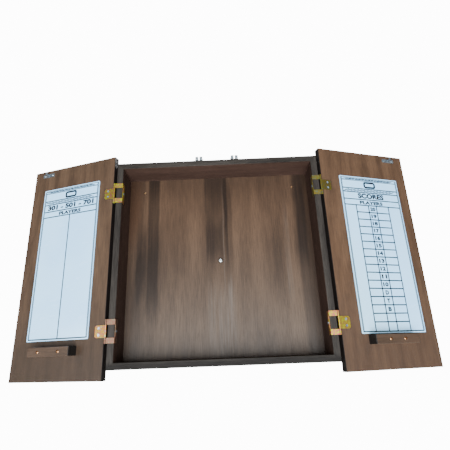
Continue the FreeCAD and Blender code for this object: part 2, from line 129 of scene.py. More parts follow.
# %% [markdown]
# ## Light and floor
# A white studio: the whole surrounding is an even white, and a wide soft panel stands low in
# front. From so low its light slips in over the bottom board, and its sheen never reaches the
# camera off the back panel. A weaker panel to the left shapes the frame, and one behind shows the
# back and the doors' outer faces. The backdrop that the camera sees is far brighter than the
# surrounding that lights the wood, which one switch in the world's nodes makes possible. The floor
# is plain and pale, glows very faintly so that it reads as paper, and stays below the cabinet.

# %% Light the studio
WHITE = (1.0, 1.0, 1.0, 1.0)
AMBIENT_STRENGTH = 0.28
BACKDROP_STRENGTH = 13.0

world = bpy.data.worlds.new("studio")
bpy.context.scene.world = world
world.use_nodes = True
sky_nodes = world.node_tree.nodes
sky_links = world.node_tree.links
ambient = sky_nodes["Background"]
ambient.inputs["Color"].default_value = WHITE
ambient.inputs["Strength"].default_value = AMBIENT_STRENGTH
backdrop = sky_nodes.new("ShaderNodeBackground")
backdrop.inputs["Color"].default_value = WHITE
backdrop.inputs["Strength"].default_value = BACKDROP_STRENGTH
seen = sky_nodes.new("ShaderNodeLightPath")
chosen = sky_nodes.new("ShaderNodeMixShader")
sky_links.new(seen.outputs["Is Camera Ray"], chosen.inputs[0])
sky_links.new(ambient.outputs[0], chosen.inputs[1])
sky_links.new(backdrop.outputs[0], chosen.inputs[2])
sky_links.new(chosen.outputs[0], sky_nodes["World Output"].inputs["Surface"])


def soft_panel(name, place, target, size, power):
    """A square area light at a place, aimed at a target."""
    data = bpy.data.lights.new(name, "AREA")
    data.shape = "SQUARE"
    data.size = size
    data.energy = power
    lamp = bpy.data.objects.new(name, data)
    lamp.location = place
    lamp.rotation_euler = (Vector(target) - Vector(place)).to_track_quat("-Z", "Y").to_euler()
    bpy.context.scene.collection.objects.link(lamp)
    print(name, "size m", size, "power W", power)


CABINET_MIDDLE = (0.0, -0.05, 0.0)
soft_panel("low_panel", (0.0, -3.2, -1.35), CABINET_MIDDLE, 2.5, 440.0)
soft_panel("left_panel", (-2.0, -1.5, -0.4), CABINET_MIDDLE, 0.8, 14.0)
soft_panel("back_panel_light", (0.6, 2.6, 1.3), (0.0, 0.0, 0.0), 1.5, 120.0)

# %% Lay the floor
FLOOR_SIZE = 8.0
FLOOR_HEIGHT = -2.6

bpy.ops.object.select_all(action="DESELECT")
bpy.ops.mesh.primitive_plane_add(size=FLOOR_SIZE, location=(0.0, 0.0, FLOOR_HEIGHT))
floor = bpy.context.object
floor.name = "studio_floor"
floor.data.materials.append(bpy.data.materials.new("studio_paper"))
floor.data.materials[0].use_nodes = True
paper = floor.data.materials[0].node_tree.nodes["Principled BSDF"]
paper.inputs["Base Color"].default_value = (0.92, 0.92, 0.92, 1.0)
paper.inputs["Roughness"].default_value = 0.9
paper.inputs["Emission Color"].default_value = WHITE
paper.inputs["Emission Strength"].default_value = 0.4
print("floor size m", tuple(floor.dimensions))

# %% [markdown]
# ## Writing a material as sums
# A pattern is arithmetic on positions. The small class below lets a value that flows through a
# material be added and multiplied like a number, and each sum quietly becomes a Math node.
# Every other node comes from one method, so a finish reads as a recipe and not as wiring.

# %% A value that flows, and the finish it flows through
class Flow:
    """One value, vector or colour on its way through a finish."""

    def __init__(self, finish, socket):
        self.finish = finish
        self.socket = socket

    def _sum(self, operation, first, second):
        return self.finish.node("Math", {"operation": operation}, {0: first, 1: second})

    def __add__(self, other):
        return self._sum("ADD", self, other)

    def __radd__(self, other):
        return self._sum("ADD", other, self)

    def __sub__(self, other):
        return self._sum("SUBTRACT", self, other)

    def __rsub__(self, other):
        return self._sum("SUBTRACT", other, self)

    def __mul__(self, other):
        return self._sum("MULTIPLY", self, other)

    def __rmul__(self, other):
        return self._sum("MULTIPLY", other, self)

    def __abs__(self):
        return self._sum("ABSOLUTE", self, 0.0)


class Finish:
    """A material being written, with its one shader."""

    def __init__(self, name, **constants):
        self.material = bpy.data.materials.new(name)
        self.material.use_nodes = True
        self.tree = self.material.node_tree
        self.shader = self.tree.nodes["Principled BSDF"]
        for socket, value in constants.items():
            self.shader.inputs[socket.replace("_", " ")].default_value = value

    def node(self, kind, settings, values, output=0):
        """Adds one node: its settings first, then a value or a flow for each socket."""
        made = self.tree.nodes.new("ShaderNode" + kind)
        for setting, value in settings.items():
            if setting == "stops":
                ramp = made.color_ramp
                while len(ramp.elements) < len(value):
                    ramp.elements.new(0.5)
                for element, (place, colour) in zip(ramp.elements, value):
                    element.position = place
                    element.color = colour
            else:
                setattr(made, setting, value)
        for socket, value in values.items():
            if isinstance(value, Flow):
                self.tree.links.new(value.socket, made.inputs[socket])
            else:
                made.inputs[socket].default_value = value
        return Flow(self, made.outputs[output])

    def into(self, socket, flow):
        """Lets a flow arrive at the shader."""
        self.tree.links.new(flow.socket, self.shader.inputs[socket])

    def place(self):
        """Where a point of the surface is, in metres from the cabinet's origin."""
        return self.node("TexCoord", {}, {}, "Object")

    def along(self, direction, origin=(0.0, 0.0, 0.0)):
        """How far a point lies from an origin in one direction."""
        start = Vector(origin).dot(Vector(direction))
        reach = self.node("VectorMath", {"operation": "DOT_PRODUCT"},
                          {0: self.place(), 1: tuple(direction)}, "Value")
        return reach - start if abs(start) > 1e-9 else reach

    def vector(self, first, second, third):
        return self.node("CombineXYZ", {}, {0: first, 1: second, 2: third})

    def noise(self, vector, scale, detail=2.0, roughness=0.5):
        return self.node("TexNoise", {}, {"Vector": vector, "Scale": scale, "Detail": detail,
                                          "Roughness": roughness}, "Fac")

    def ease(self, value, low, high):
        """0 below low, 1 above high, and a soft S between."""
        return self.node("MapRange", {"interpolation_type": "SMOOTHSTEP"},
                         {"Value": value, "From Min": low, "From Max": high})

    def band(self, value, centre, half, soft):
        """1 within half of a centre, easing to 0 over soft."""
        return self.ease(abs(value - centre), half + soft, half)

    def most(self, first, second):
        """The larger of two values."""
        return self.node("Math", {"operation": "MAXIMUM"}, {0: first, 1: second})

    def mix(self, share, first, second):
        """The first colour, turning into the second as share rises from 0 to 1."""
        return self.node("Mix", {"data_type": "RGBA"}, {0: share, 6: first, 7: second}, 2)

    def bump(self, height, distance, strength):
        return self.node("Bump", {}, {"Height": height, "Distance": distance, "Strength": strength})


def tint(red, green, blue):
    """A colour named in everyday 0 to 255 steps, as the linear values that shaders use."""
    steps = [channel / 255.0 for channel in (red, green, blue)]
    return tuple(s / 12.92 if s <= 0.04045 else ((s + 0.055) / 1.055) ** 2.4 for s in steps) + (1.0,)


print("finish tools ready")

# %% [markdown]
# ## Stained wood
# The boards are a plain, even timber under a brown stain. Stain sinks into open fibres, so the
# grain shows as thin dark streaks that run along each board, over a slower change of tone.
# Noise that is stretched along the grain gives both: squeeze one axis of the coordinates and
# the round blotches of noise become fibres. The same heights, much reduced, roughen the sheen.

# %% Grain that every wooden finish shares
def grain(finish, run, across, through, fine=1.0):
    """Fibres, slow figure and pores for a board whose fibres follow run."""
    fibre = finish.noise(finish.vector(across, through, run * 0.035), 900.0 * fine, 4.0, 0.6)
    figure = finish.noise(finish.vector(across, through, run * 0.11), 42.0 * fine, 3.0, 0.55)
    pores = finish.noise(finish.vector(across, through, run * 0.016), 2400.0 * fine, 2.0, 0.5)
    return (finish.ease(fibre, 0.32, 0.68), finish.ease(figure, 0.3, 0.7),
            finish.ease(pores, 0.56, 0.7))


def stained(finish, parts, dark, light, pore, deep=0.35):
    """Colour of a stained board from its grain."""
    fibre, figure, pores = parts
    tone = finish.mix(fibre * 0.45 + figure * 0.55, dark, light)
    return finish.mix(pores * deep, tone, pore)


def wooden(finish, colour, parts, sheen, depth=0.12 * MM):
    """Sends a wood's colour, sheen and surface to the shader."""
    fibre, figure, pores = parts
    finish.into("Base Color", colour)
    finish.into("Roughness", sheen + pores * 0.12 - fibre * 0.06)
    finish.into("Normal", finish.bump(fibre * 0.5 - pores, depth, 0.6))
    return finish.material


def frame_board(name, run, across, through):
    """One frame board: brown inside, near-black on the rim, the bottom board's rim darker as painted
    shade, slightly rubbed at the rim's edges.
    """
    finish = Finish(name, Specular_IOR_Level=0.08)
    parts = grain(finish, finish.along(run), finish.along(across), finish.along(through))
    brown = stained(finish, parts, tint(43, 31, 26), tint(63, 48, 42), tint(25, 18, 15))
    black = stained(finish, parts, tint(19, 18, 17), tint(52, 49, 46), tint(9, 9, 9), 0.6)
    # Painted shade: the bottom board's rim is darkened, standing in for less light on it.
    bottom_rim_painted_shade = finish.ease(finish.along((0, 0, 1)), -0.225, -0.24)
    black = finish.mix(bottom_rim_painted_shade * 0.8, black, tint(14, 13, 13))
    depth = finish.along((0, 1, 0), (0, rim_y, 0))
    rim = finish.ease(depth, 1.1 * MM, 0.5 * MM)
    rub = finish.band(depth, 0.7 * MM, 0.1 * MM, 0.4 * MM)
    rubbed = finish.noise(finish.place(), 60.0, 3.0)
    colour = finish.mix(rim, brown, black)
    colour = finish.mix(rub * finish.ease(rubbed, 0.5, 0.75) * 0.5, colour, tint(84, 70, 58))
    return wooden(finish, colour, parts, 0.6)


board_lying = frame_board("stain_lying", (1, 0, 0), (0, 0, 1), (0, 1, 0))
board_standing = frame_board("stain_standing", (0, 0, 1), (1, 0, 0), (0, 1, 0))
print("frame finishes", board_lying.name, board_standing.name)

# %% [markdown]
# ## The back panel
# A thin veneered sheet closes the back. Its veneer has broad, upright figure: darker strips where
# the leaves of veneer meet and run out towards the foot, over a warm brown that greys lower down.
# That lower grey is painted sheen. Each strip is a soft band across the panel that fades at its
# foot and its top; the strip along the right side is the right wall's painted shadow. The top and
# its corners are darkened too, as painted shade. A few paler streaks lie over the strips, and the
# two low ones are painted sheen. The sheet's rear face was never stained, so behind its middle
# the figure gives way to bare, flecked fibreboard.

# %% Veneer of the back panel
PANEL_TOP = 0.300
VENEER_STRIPS = (
    # centre, half width, softness, foot, top, softness of both ends, depth
    (-0.172, 0.011, 0.006, -0.105, PANEL_TOP, 0.09, 0.66),
    (-0.201, 0.010, 0.006, -0.060, 0.105, 0.05, 0.55),
    (-0.186, 0.025, 0.014, -0.150, 0.060, 0.08, 0.36),
    (-0.226, 0.016, 0.020, -0.300, 0.000, 0.09, 0.42),
    (-0.218, 0.016, 0.012, 0.090, PANEL_TOP, 0.07, 0.34),
    (-0.122, 0.026, 0.020, -0.045, 0.120, 0.06, 0.30),
    (-0.008, 0.027, 0.004, -0.030, PANEL_TOP, 0.07, 0.40),
    (-0.013, 0.017, 0.008, 0.005, 0.098, 0.03, 0.40),
    (0.023, 0.007, 0.005, -0.020, 0.205, 0.06, 0.45),
    (0.074, 0.004, 0.012, -0.040, 0.200, 0.08, 0.14),
    (0.141, 0.018, 0.013, -0.080, 0.075, 0.05, 0.34),
    (0.207, 0.013, 0.008, -0.010, 0.195, 0.06, 0.38),
    # Not figure: painted shadow of the right side wall along the panel's right edge.
    (0.222, 0.018, 0.012, -0.300, PANEL_TOP, 0.05, 0.60),
)
# Paler streaks, same columns: the two low ones, at 0.021 and 0.000, are painted sheen.
VENEER_PALE_LINES_AND_PAINTED_SHEEN = (
    (0.0095, 0.0010, 0.0012, -0.060, 0.200, 0.05, 0.16),
    (0.0210, 0.0040, 0.0050, -0.150, -0.060, 0.03, 0.42),
    (0.0000, 0.0240, 0.0160, -0.260, -0.070, 0.04, 0.18),
    (0.1700, 0.0040, 0.0060, -0.100, 0.120, 0.05, 0.14),
)


def strips(finish, table, across, z):
    """How far the strips of a table cover a point, added up. A strip may run off the top."""
    total = None
    for centre, half, soft, foot, top, fade, depth in table:
        strip = finish.band(across, centre, half, soft) * finish.ease(z, foot - fade, foot + fade)
        if top < PANEL_TOP:
            strip = strip * finish.ease(z, top + fade, top - fade)
        total = strip * depth if total is None else total + strip * depth
    return total


def veneer():
    """Stained veneer in front, with its strips, painted shade and painted sheen, and bare fibreboard
    behind.
    """
    finish = Finish("veneer_back", Specular_IOR_Level=0.2)
    x = finish.along((1, 0, 0))
    z = finish.along((0, 0, 1))
    parts = grain(finish, z, x, finish.along((0, 1, 0)), 0.8)
    wander = finish.noise(finish.vector(x * 2.0, 0.0, z * 3.0), 4.0, 3.0, 0.5)
    streak = finish.noise(finish.vector(x, 0.0, z * 0.03), 150.0, 3.0, 0.6)
    across = x + (wander - 0.5) * 0.009 + (streak - 0.5) * 0.006
    ragged = z + (finish.noise(finish.vector(x, 0.3, z * 0.1), 60.0, 3.0, 0.6) - 0.5) * 0.09
    height = finish.ease(z, -0.20, 0.20)
    # The lower colour is greyer: painted sheen, the lamp's reflection greying the panel low down.
    low = stained(finish, parts, tint(48, 39, 32), tint(74, 61, 50), tint(28, 23, 18), 0.5)
    high = stained(finish, parts, tint(50, 37, 28), tint(78, 60, 46), tint(30, 22, 17), 0.5)
    colour = finish.mix(height, low, high)
    warm = finish.ease(across, -0.196, -0.214) * finish.ease(z, 0.0, 0.14)
    colour = finish.mix(warm * 0.6, colour, tint(56, 36, 23))
    shade = strips(finish, VENEER_STRIPS, across, ragged) * (streak * 0.9 + 0.55)
    # Painted shade: darker towards the top and its corners, where the top board and sides shade the
    # panel.
    corner = finish.ease(z - abs(x) * 0.5, 0.04, 0.22) * 0.35 + finish.ease(z, 0.14, 0.22) * 0.12
    colour = finish.mix(shade + corner, colour, tint(27, 19, 14))
    # Paler streaks; the two low ones are painted sheen.
    pale_lines_and_painted_sheen = strips(finish, VENEER_PALE_LINES_AND_PAINTED_SHEEN, across, ragged) * finish.ease(streak, 0.3, 0.7)
    colour = finish.mix(pale_lines_and_painted_sheen, colour, tint(98, 94, 90))
    flecks = finish.noise(finish.place(), 1400.0, 2.0, 0.6)
    bare = finish.mix(finish.ease(flecks, 0.35, 0.65), tint(86, 67, 50), tint(106, 84, 62))
    centre_y = (back_low.y + back_high.y) / 2
    rear = finish.ease(finish.along((0, 1, 0)), centre_y - 0.4 * MM, centre_y + 0.4 * MM)
    colour = finish.mix(rear, colour, bare)
    return wooden(finish, colour, parts, 0.42, 0.08 * MM)


veneer_back = veneer()
print("veneer strips", len(VENEER_STRIPS), "gleams", len(VENEER_PALE_LINES_AND_PAINTED_SHEEN))

# %% [markdown]
# ## Door wood
# The doors are stained like the body, and their edges were painted nearly black, as the rims
# were. The grain stands upright. Distances across and out of the door tell an edge from a face.

# %% Stain of the doors and dart holders
def door_stain(side):
    """A door: upright grain, darker and greyer towards the foot as painted shade, and edges painted
    black.
    """
    door = doors[side]
    finish = Finish(f"stain_{side}_door", Specular_IOR_Level=0.25)
    u = finish.along(door.across, door.hinge)
    w = finish.along(door.facing, door.hinge)
    z = finish.along((0, 0, 1))
    parts = grain(finish, z, u, w)
    width = door.sheet(f"{side}_door_panel")[0]
    near = (middle(f"{side}_door_panel") - door.hinge).dot(door.across) - width / 2
    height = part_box(f"{side}_door_panel")[1].z
    warm = {"left": (0, 0, 0), "right": (5, 2, 0)}[side]
    shades = [tint(*(c + w for c, w in zip(shade, warm)))
              for shade in ((50, 38, 29), (79, 62, 48), (34, 26, 20))]
    brown = stained(finish, parts, *shades, 0.5)
    cloud = finish.noise(finish.vector(u, w, z * 0.35), 24.0, 4.0, 0.6)
    brown = finish.mix(finish.ease(cloud, 0.48, 0.7) * 0.4, brown, tint(40, 30, 23))
    # Painted shade: darker towards the foot, standing in for less light low on the door, more on the
    # left door.
    foot = finish.ease(z, -0.02, -0.24) * {"left": 0.62, "right": 0.34}[side]
    brown = finish.mix(foot, brown, {"left": tint(33, 26, 20), "right": tint(50, 42, 38)}[side])
    near_hinge = finish.ease(u, near + 0.8 * MM, near + 0.3 * MM)
    far = finish.ease(u, near + width - 0.8 * MM, near + width - 0.3 * MM)
    ends = finish.ease(abs(z), height - 1.1 * MM, height - 0.4 * MM)
    edge = finish.most(finish.most(near_hinge, far * 0.35), ends)
    black = stained(finish, parts, tint(14, 12, 11), tint(22, 19, 18), tint(8, 7, 7))
    colour = finish.mix(edge, brown, black)
    return wooden(finish, colour, parts, 0.46)


def holder_stain(side):
    """A dart holder: lying grain, and end faces painted black."""
    door = doors[side]
    finish = Finish(f"stain_{side}_holder", Specular_IOR_Level=0.25)
    u = finish.along(door.across, middle(f"{side}_dart_holder"))
    parts = grain(finish, u, finish.along((0, 0, 1)), finish.along(door.facing))
    brown = stained(finish, parts, tint(44, 34, 26), tint(68, 53, 42), tint(30, 23, 18))
    black = stained(finish, parts, tint(12, 11, 10), tint(20, 18, 17), tint(8, 7, 7))
    half = door.sheet(f"{side}_dart_holder")[0] / 2
    end = finish.ease(abs(u), half - 1.4 * MM, half - 0.6 * MM)
    return wooden(finish, finish.mix(end, brown, black), parts, 0.46)


door_finish = {side: door_stain(side) for side in SIDES}
holder_finish = {side: holder_stain(side) for side in SIDES}
print("door finishes", [m.name for m in door_finish.values()])

# %% [markdown]
# ## Bare wood behind
# The rail and the block behind the panel are never seen in use, so they are left unfinished:
# pale softwood with its yearly rings showing as lines along the length.

# %% Unfinished softwood
def softwood():
    """Pale boards with yearly rings, for what hangs out of sight."""
    finish = Finish("bare_softwood")
    x = finish.along((1, 0, 0))
    z = finish.along((0, 0, 1))
    y = finish.along((0, 1, 0))
    parts = grain(finish, x, z, y, 0.7)
    rings = finish.noise(finish.vector(x * 0.05, y, z + parts[1] * 0.003), 160.0, 1.0)
    colour = stained(finish, parts, tint(172, 138, 98), tint(200, 166, 124), tint(146, 112, 76), 0.3)
    colour = finish.mix(finish.band(rings, 0.5, 0.01, 0.05) * 0.45, colour, tint(170, 124, 78))
    return wooden(finish, colour, parts, 0.62)


bare_wood = softwood()
print("bare wood", bare_wood.name)

# %% [markdown]
# ## Dry-wipe sheet
# The scoreboards are pale, glossy sheets with a faint blue cast. Wiping leaves soft smears that
# are hardly seen in the colour but do break up the gloss.

# %% Dry-wipe finish
def dry_wipe(side):
    """A glossy sheet with faint smears, and in the right one's lower left corner a painted glare."""
    door = doors[side]
    finish = Finish(f"dry_wipe_{side}", Coat_Weight=0.5, Coat_Roughness=0.08)
    u = finish.along(door.reading, middle(f"{side}_scoreboard"))
    z = finish.along((0, 0, 1))
    smear = finish.noise(finish.vector(u, z * 2.6, 0.0), 26.0, 5.0, 0.6)
    cloud = finish.noise(finish.vector(u, z, 0.3), 7.0, 2.0)
    pale = finish.mix(finish.ease(cloud, 0.35, 0.65), tint(155, 209, 252), tint(163, 216, 255))
    colour = finish.mix(finish.ease(smear, 0.5, 0.8) * 0.3, pale, tint(152, 196, 240))
    if side == "right":
        # Painted glare: a greenish-grey patch in the right sheet's lower left corner, standing in
        # for a reflection.
        corner = finish.ease(u + z * 0.45, 0.02, -0.16)
        colour = finish.mix(corner * 0.35, colour, tint(160, 200, 205))
    finish.into("Base Color", colour)
    finish.into("Roughness", 0.2 + finish.ease(smear, 0.4, 0.8) * 0.14)
    return finish.material


dry_wipe_finish = {side: dry_wipe(side) for side in SIDES}
print("dry-wipe", len(dry_wipe_finish))

# %% [markdown]
# ## Plated metal
# The hinges are yellow-passivated zinc, a thin chromate film that shines gold, pink and green by
# turns as its thickness changes, so no two of the four hinges have quite the same colours. One
# film, on the lower left hinge's other parts, is also darker as painted shade. The catches and
# the hanging screw are plain bright zinc, and the dart holders' screws are brass-plated. Rolling
# leaves fine parallel lines in the sheet.

# %% Metal finishes
def plated(name, ramp, patch, rough):
    """A plated sheet: its colour wanders through a ramp, over fine rolling lines."""
    finish = Finish(name, Metallic=1.0)
    cloud = finish.noise(finish.place(), patch, 3.0, 0.55)
    run = finish.along((0, 0, 1))
    side = finish.along((1, 0, 0)) + finish.along((0, 1, 0)) * 0.7
    rolled = finish.noise(finish.vector(run * 0.03, side, run * 0.02), 5200.0, 2.0)
    colour = finish.node("ValToRGB", {"stops": ramp}, {"Fac": finish.ease(cloud, 0.25, 0.75)})
    finish.into("Base Color", colour)
    finish.into("Roughness", rough + (rolled - 0.5) * 0.18)
    finish.into("Normal", finish.bump(rolled, 0.02 * MM, 0.5))
    return finish.material


FILM_STOPS = (0.0, 0.2, 0.42, 0.6, 0.76, 1.0)
HINGE_FILMS = {
    "door_hinge_leaf_lower_left": (tint(132, 180, 150), tint(190, 168, 70), tint(196, 146, 66),
                                   tint(186, 128, 78), tint(176, 104, 110), tint(140, 176, 150)),
    "upper_left": (tint(126, 146, 92), tint(176, 180, 52), tint(168, 158, 46), tint(158, 116, 60),
                   tint(166, 92, 98), tint(150, 152, 92)),
    "upper_right": (tint(84, 104, 78), tint(104, 118, 62), tint(132, 112, 40), tint(112, 92, 50),
                    tint(96, 104, 82), tint(118, 126, 84)),
    # Darker than the other films partly as painted shade, standing in for less light on the lower
    # left hinge.
    "lower_left": (tint(110, 116, 102), tint(112, 94, 74), tint(104, 82, 68), tint(110, 82, 60),
                   tint(116, 76, 78), tint(112, 108, 66)),
    "door_hinge_leaf_lower_right": (tint(140, 150, 60), tint(176, 178, 48), tint(172, 160, 44),
                                    tint(160, 132, 52), tint(158, 104, 74), tint(166, 160, 66)),
    "lower_right": (tint(120, 128, 62), tint(150, 146, 42), tint(150, 124, 50), tint(142, 92, 70),
                    tint(150, 72, 82), tint(152, 132, 80)),
}
BRIGHT_ZINC = ((0.0, tint(150, 158, 162)), (0.5, tint(196, 204, 208)), (1.0, tint(172, 182, 188)))
BLUE_ZINC = ((0.0, tint(150, 168, 186)), (0.5, tint(196, 208, 218)), (1.0, tint(170, 190, 204)))
BRASS = ((0.0, tint(140, 100, 66)), (0.5, tint(164, 124, 88)), (1.0, tint(130, 90, 60)))
SPRING = ((0.0, tint(150, 152, 154)), (0.5, tint(190, 192, 194)), (1.0, tint(166, 170, 172)))

hinge_zinc = {
    hinge: plated(f"{hinge}_hinge_film", list(zip(FILM_STOPS, film)), 230.0, 0.5)
    for hinge, film in HINGE_FILMS.items()
}
bright_zinc = plated("bright_zinc", BRIGHT_ZINC, 90.0, 0.3)
blue_zinc = plated("blue_zinc", BLUE_ZINC, 90.0, 0.28)
brass_plate = plated("brass_plate", BRASS, 140.0, 0.26)
spring_wire = plated("spring_wire", SPRING, 300.0, 0.3)


def nylon():
    """Moulded rollers: milky, and cloudy where the spear has rubbed them."""
    finish = Finish("milky_nylon", Subsurface_Weight=0.15,
                    Subsurface_Radius=(1.2 * MM, 1.3 * MM, 1.4 * MM))
    cloud = finish.noise(finish.place(), 420.0, 3.0)
    finish.into("Base Color", finish.mix(cloud, tint(84, 98, 106), tint(118, 132, 138)))
    finish.into("Roughness", 0.36 + cloud * 0.2)
    finish.into("Normal", finish.bump(cloud, 0.04 * MM, 0.4))
    return finish.material


roller_nylon = nylon()
print("metal finishes ready")

# %% Give every CAD part its finish
dressed = set()


def dress(material, *names):
    """Puts a finish on CAD nodes, and remembers them."""
    for name in names:
        nodes[name].data.materials.clear()
        nodes[name].data.materials.append(material)
        dressed.add(name)


dress(board_lying, "top_panel", "bottom_panel")
dress(board_standing, "left_side_panel", "right_side_panel")
dress(veneer_back, "back_panel")
dress(bare_wood, "hanging_rail", "centre_block")
dress(bright_zinc, "board_hanging_screw", "corner_nails")
for side in SIDES:
    dress(door_finish[side], f"{side}_door_panel")
    dress(holder_finish[side], f"{side}_dart_holder")
    dress(dry_wipe_finish[side], f"{side}_scoreboard")

# The rest goes by a word in its name, and the first word that fits counts.
finish_by_word = tuple((word, hinge_zinc[word]) for word in HINGE_FILMS) + (
    ("hinge_screws", blue_zinc),
    ("catch_roller", roller_nylon),
    ("dart_holder_screws", brass_plate),
    ("spring", spring_wire),
    ("strike", blue_zinc),
    ("catch", bright_zinc),
    ("roller", bright_zinc),
)
for name in nodes:
    if name not in dressed:
        dress(next(material for word, material in finish_by_word if word in name), name)
print("dressed", len(dressed), "of", len(nodes))

# %% [markdown]
# ## Printing on the scoreboards
# The sheets are screen-printed: a fine border, two roped bands, a small plain plaque, a title, the
# players' heading and the columns. Ink has almost no thickness, yet it is real here, so that it
# shows in every view. One flat sheet is cut through at every rule's two
# edges, and only the strips that are rules are kept: no two faces lie on top of each other.
# Lettering is set in Blender's own font, made a mesh, and fitted to the height of its row.

# %% Ink
def ink():
    """Near-black printing ink, a little uneven where it lies thin."""
    finish = Finish("board_ink", Specular_IOR_Level=0.2)
    density = finish.noise(finish.place(), 900.0, 3.0)
    finish.into("Base Color", finish.mix(density, tint(3, 4, 7), tint(10, 13, 19)))
    finish.into("Roughness", 0.38 + density * 0.2)
    return finish.material


printing_ink = ink()
INK = 0.06 * MM
print("ink thickness mm", INK / MM)


# %% Cut rules from one sheet
def active(name):
    """The object that an operator has just made, under its own name."""
    made = bpy.context.object
    made.name = name
    return made


def printed_rules(name, rules):
    """Flat strips for rules given as (left, top, right, bottom) in mm from a sheet's top left."""
    left = min(rule[0] for rule in rules)
    right = max(rule[2] for rule in rules)
    top = min(rule[1] for rule in rules)
    bottom = max(rule[3] for rule in rules)
    bpy.ops.object.select_all(action="DESELECT")
    bpy.ops.mesh.primitive_plane_add(size=1.0, location=(0.0, 0.0, 0.0))
    sheet = active(name)
    bpy.ops.object.mode_set(mode="EDIT")
    bpy.ops.transform.resize(value=((right - left) * MM, (bottom - top) * MM, 1.0))
    bpy.ops.transform.translate(value=((left + right) / 2 * MM, -(top + bottom) / 2 * MM, 0.0))
    upright = sorted({edge for rule in rules for edge in (rule[0], rule[2])} - {left, right})
    level = sorted({edge for rule in rules for edge in (rule[1], rule[3])} - {top, bottom})
    for edge in upright:
        bpy.ops.mesh.select_all(action="SELECT")
        bpy.ops.mesh.bisect(plane_co=(edge * MM, 0.0, 0.0), plane_no=(1.0, 0.0, 0.0))
    for edge in level:
        bpy.ops.mesh.select_all(action="SELECT")
        bpy.ops.mesh.bisect(plane_co=(0.0, -edge * MM, 0.0), plane_no=(0.0, 1.0, 0.0))
    bpy.ops.mesh.select_mode(type="FACE")
    bpy.ops.mesh.select_all(action="DESELECT")
    bpy.ops.object.mode_set(mode="OBJECT")
    for face in sheet.data.polygons:
        x, y = face.center.x / MM, -face.center.y / MM
        face.select = not any(a < x < c and b < y < d for a, b, c, d in rules)
    bpy.ops.object.mode_set(mode="EDIT")
    bpy.ops.mesh.delete(type="FACE")
    bpy.ops.mesh.select_mode(type="VERT")
    bpy.ops.object.mode_set(mode="OBJECT")
    return sheet


print("rule cutter ready")


# %% Roped bands, plaque and lettering
STROKE_LENGTH, STROKE_WEIGHT, STROKE_PITCH = 18.0, 2.0, 9.4
STROKE_TIP = 0.35
PLAQUE_CORNER = 5.6
LETTER_BOLDNESS = 0.054


def roped_band(name, left, right, top, bottom, falls):
    """Slanting strokes with thin tips: one is drawn, and then repeated along the band."""
    drop = bottom - top - STROKE_WEIGHT
    bpy.ops.object.select_all(action="DESELECT")
    bpy.ops.mesh.primitive_plane_add(size=1.0, location=(0.0, 0.0, 0.0))
    stroke = active(name)
    bpy.ops.object.mode_set(mode="EDIT")
    bpy.ops.mesh.subdivide(number_cuts=3)
    bpy.ops.transform.resize(value=(STROKE_LENGTH * MM, STROKE_WEIGHT * MM, 1.0))
    bpy.ops.mesh.select_all(action="DESELECT")
    bpy.ops.object.mode_set(mode="OBJECT")
    for vertex in stroke.data.vertices:
        vertex.select = abs(vertex.co.x) > 0.45 * STROKE_LENGTH * MM
    bpy.ops.object.mode_set(mode="EDIT")
    bpy.ops.transform.resize(value=(1.0, STROKE_TIP, 1.0))
    bpy.ops.mesh.select_all(action="SELECT")
    slope = -math.atan2(drop, STROKE_LENGTH) * falls
    bpy.ops.transform.rotate(value=slope, orient_axis="Z", center_override=(0.0, 0.0, 0.0))
    half_reach = max(abs(v.co.x) for v in stroke.data.vertices) / MM
    bpy.ops.transform.translate(
        value=((left + half_reach) * MM, -(top + bottom) / 2 * MM, 0.0))
    bpy.ops.object.mode_set(mode="OBJECT")
    row = stroke.modifiers.new("row", "ARRAY")
    row.use_relative_offset = False
    row.use_constant_offset = True
    row.constant_offset_displace = (STROKE_PITCH * MM, 0.0, 0.0)
    row.count = int((right - left - 2 * half_reach) / STROKE_PITCH) + 1
    bpy.ops.object.modifier_apply(modifier=row.name)
    return stroke


def plaque(name, left, top, right, bottom, weight):
    """A thick outline with rounded corners: bevel the corners, inset, and take the middle out."""
    bpy.ops.object.select_all(action="DESELECT")
    bpy.ops.mesh.primitive_plane_add(size=1.0, location=(0.0, 0.0, 0.0))
    outline = active(name)
    bpy.ops.object.mode_set(mode="EDIT")
    bpy.ops.transform.resize(value=((right - left) * MM, (bottom - top) * MM, 1.0))
    bpy.ops.transform.translate(value=((left + right) / 2 * MM, -(top + bottom) / 2 * MM, 0.0))
    bpy.ops.mesh.bevel(offset=PLAQUE_CORNER * MM, segments=5, affect="VERTICES")
    bpy.ops.mesh.select_all(action="SELECT")
    bpy.ops.mesh.inset(thickness=weight * MM, depth=0.0)
    bpy.ops.mesh.delete(type="FACE")
    bpy.ops.object.mode_set(mode="OBJECT")
    return outline


def lettering(text, left, top, right, bottom):
    """Words in Blender's own font, fitted to a box."""
    bpy.ops.object.select_all(action="DESELECT")
    bpy.ops.object.text_add(location=(0.0, 0.0, 0.0))
    words = bpy.context.object
    words.data.body = text
    words.data.resolution_u = 3
    words.data.offset = LETTER_BOLDNESS
    bpy.ops.object.convert(target="MESH")
    words = active("letters")
    spread = [[getattr(v.co, axis) for v in words.data.vertices] for axis in "xy"]
    wide = max(spread[0]) - min(spread[0])
    tall = max(spread[1]) - min(spread[1])
    bpy.ops.object.mode_set(mode="EDIT")
    bpy.ops.mesh.select_all(action="SELECT")
    bpy.ops.transform.translate(value=(-min(spread[0]), -max(spread[1]), 0.0))
    bpy.ops.object.mode_set(mode="OBJECT")
    words.scale = ((right - left) * MM / wide, (bottom - top) * MM / tall, 1.0)
    words.location = (left * MM, -top * MM, 0.0)
    bpy.ops.object.transform_apply(location=True, rotation=True, scale=True)
    return words


print("printing tools ready")


